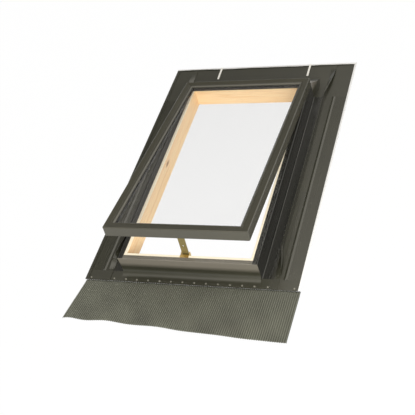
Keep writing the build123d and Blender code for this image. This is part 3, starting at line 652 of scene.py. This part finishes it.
@dataclass
class Fittings:
    """Hinges, stay and the bracket on the sill."""

    steel: list[str] = field(default_factory=lambda: [
        "hinge_frame_leaf_left", "hinge_frame_leaf_right", "hinge_sash_leaf_left", "hinge_sash_leaf_right",
        "hinge_pin_left", "hinge_pin_right", "hinge_screws", "stay_pivot_pin"])
    bronzed: list[str] = field(default_factory=lambda: ["stay_bar", "stay_bracket"])
    brass: list[str] = field(default_factory=lambda: ["sill_bracket", "sill_bracket_screws"])

    def build(self) -> None:
        """Dress the fittings."""
        dress(self.steel, ZINC_STEEL.make())
        dress(self.bronzed, BRONZED_STEEL.make())
        dress(self.brass, YELLOW_BRASS.make())


@dataclass
class Studio:
    """A pale floor, one soft lamp, an even sky and the camera at the photograph's angle.

    The sky has two faces: one lights the object evenly, and one is what gloss and glass show. Ranges are sines
    of the rise over the floor. The ceiling that gloss shows is brighter than white, by sky_top.
    """

    eye_mm: tuple[float, float, float] = (1011.50, -1866.22, 1933.27)
    ahead: tuple[float, float, float] = (-0.37049, 0.62180, -0.68999)
    up: tuple[float, float, float] = (-0.02070, 0.73715, 0.67541)
    focal_px: float = 867.9
    picture_px: float = 415.0
    sensor_mm: float = 36.0
    sky_side: float = 0.32
    sky_over: float = 0.95
    sky_low: float = 1.0
    low_range: tuple[float, float] = (0.14, 0.30)
    sky_middle: float = 0.03
    wall: float = 0.30
    wall_start: tuple[float, float] = (0.30, 0.40)
    wall_end: tuple[float, float] = (0.50, 0.58)
    sky_top: float = 2.0
    top_range: tuple[float, float] = (0.45, 0.64)
    lean_to_right: float = 0.6
    ceiling_tint: str = "FFFAF0"
    floor_seen: float = 0.985
    floor_colour: str = "F7F7F7"
    floor_reach: float = 12.0
    floor_z: float = -0.0006
    lamp_place: tuple[float, float, float] = (0.9, -2.35, 1.3)
    lamp_aim: tuple[float, float, float] = (0.0, -0.05, 0.05)
    lamp_size: float = 1.3
    lamp_power: float = 68.0
    lamp_tint: str = "FFF9F0"

    def camera(self) -> None:
        """Stand the camera where the photograph was taken from."""
        data = bpy.data.cameras.new("camera")
        data.sensor_width = self.sensor_mm
        data.lens = self.focal_px / self.picture_px * self.sensor_mm
        data.clip_end = 50.0
        ahead = Vector(self.ahead).normalized()
        right = ahead.cross(Vector(self.up)).normalized()
        up = right.cross(ahead)
        turn = Matrix((right, up, -ahead)).transposed().to_4x4()
        made = bpy.data.objects.new("camera", data)
        made.matrix_world = Matrix.Translation(Vector(self.eye_mm) * MM) @ turn
        bpy.context.scene.collection.objects.link(made)
        bpy.context.scene.camera = made

    def lamp(self) -> None:
        """Hang a square soft lamp, in metres and watts, that faces the object."""
        data = bpy.data.lights.new("key", "AREA")
        data.size = self.lamp_size
        data.energy = self.lamp_power
        data.color = linear(self.lamp_tint)[:3]
        made = bpy.data.objects.new("key", data)
        made.location = self.lamp_place
        towards = Vector(self.lamp_aim) - Vector(self.lamp_place)
        made.rotation_euler = towards.to_track_quat("-Z", "Y").to_euler()
        bpy.context.scene.collection.objects.link(made)

    def seen_ray(self, tree: Tree) -> Socket:
        """One for rays from the camera, or by way of gloss or glass, and nothing for the rest."""
        path = add_node(tree, "ShaderNodeLightPath").outputs
        gloss = add_node(tree, "ShaderNodeMath", {0: path["Is Glossy Ray"], 1: path["Is Transmission Ray"]},
                         operation="MAXIMUM")
        return add_node(tree, "ShaderNodeMath", {0: path["Is Camera Ray"], 1: gloss.outputs[0]},
                        operation="MAXIMUM").outputs[0]

    def floor(self) -> None:
        """Lay a wide white floor that keeps a faint shadow of the object."""
        material, tree = start_material("studio_floor")
        seen = add_node(tree, "ShaderNodeMath", {0: self.seen_ray(tree), 1: self.floor_seen},
                        operation="MULTIPLY")
        plain = add_node(tree, "ShaderNodeBsdfDiffuse", {0: linear(self.floor_colour)})
        white = add_node(tree, "ShaderNodeEmission", {0: WHITE, 1: 1.0})
        both = add_node(tree, "ShaderNodeMixShader", {
            0: seen.outputs[0], 1: plain.outputs[0], 2: white.outputs[0]})
        add_node(tree, "ShaderNodeOutputMaterial", {0: both.outputs[0]})
        reach = np.array([-self.floor_reach, self.floor_reach])
        x, y = np.meshgrid(reach, reach)
        points = np.stack([x, y, np.full_like(x, self.floor_z)], axis=-1)
        surface_mesh("floor", points, grid_faces(2, 2), material, smooth=False)

    def world(self) -> None:
        """Light everything evenly, and show gloss and glass white low down, a dim wall and a bright ceiling.

        The bright ceiling starts lower on the right, and has the lamp's warm tint.
        """
        world = bpy.data.worlds.new("sky")
        world.use_nodes = True
        tree = world.node_tree
        tree.nodes.clear()
        ray = add_node(tree, "ShaderNodeTexCoord").outputs["Generated"]
        rise = add_node(tree, "ShaderNodeSeparateXYZ", {0: ray})
        leaned = add_node(tree, "ShaderNodeMath", {
            0: rise.outputs[0], 1: self.lean_to_right, 2: rise.outputs[2]}, operation="MULTIPLY_ADD")
        low, top, wall_from, wall_to = (
            add_node(tree, "ShaderNodeMapRange", {0: height, 1: ends[0], 2: ends[1], 3: below, 4: above})
            for height, ends, below, above in (
                (rise.outputs[2], self.low_range, self.sky_low, self.sky_middle),
                (leaned.outputs[0], self.top_range, self.sky_middle, self.sky_top),
                (rise.outputs[2], self.wall_start, 0.0, self.wall),
                (rise.outputs[2], self.wall_end, 1.0, 0.0)))
        wall = add_node(tree, "ShaderNodeMath", {0: wall_from.outputs[0], 1: wall_to.outputs[0]},
                        operation="MULTIPLY")
        even = add_node(tree, "ShaderNodeMapRange", {0: rise.outputs[2], 3: self.sky_side, 4: self.sky_over})
        shown = add_node(tree, "ShaderNodeMath", {0: low.outputs[0], 1: top.outputs[0]}, operation="MAXIMUM")
        shown = add_node(tree, "ShaderNodeMath", {0: shown.outputs[0], 1: wall.outputs[0]},
                         operation="MAXIMUM")
        strength = add_node(tree, "ShaderNodeMix", {
            0: self.seen_ray(tree), 2: even.outputs[0], 3: shown.outputs[0]})
        tint = add_node(tree, "ShaderNodeMix", {0: low.outputs[0], 6: linear(self.ceiling_tint), 7: WHITE},
                        data_type="RGBA")
        light = add_node(tree, "ShaderNodeBackground", {0: tint.outputs[2], 1: strength.outputs[0]})
        add_node(tree, "ShaderNodeOutputWorld", {0: light.outputs[0]})
        bpy.context.scene.world = world

    def build(self) -> None:
        """Set up the whole studio."""
        self.camera()
        self.floor()
        self.world()
        self.lamp()
        bpy.context.scene.view_settings.view_transform = "Standard"


def main() -> None:
    """Build the finishes and pieces in order, then the studio."""
    logging.basicConfig(level=logging.INFO, format="%(name)s %(message)s")
    for piece in (PineFrame(), Flashing(), PleatedApron(), RivetRow(), GlazedSash(), Fittings(), Studio()):
        piece.build()


if __name__ == "__main__":
    main()
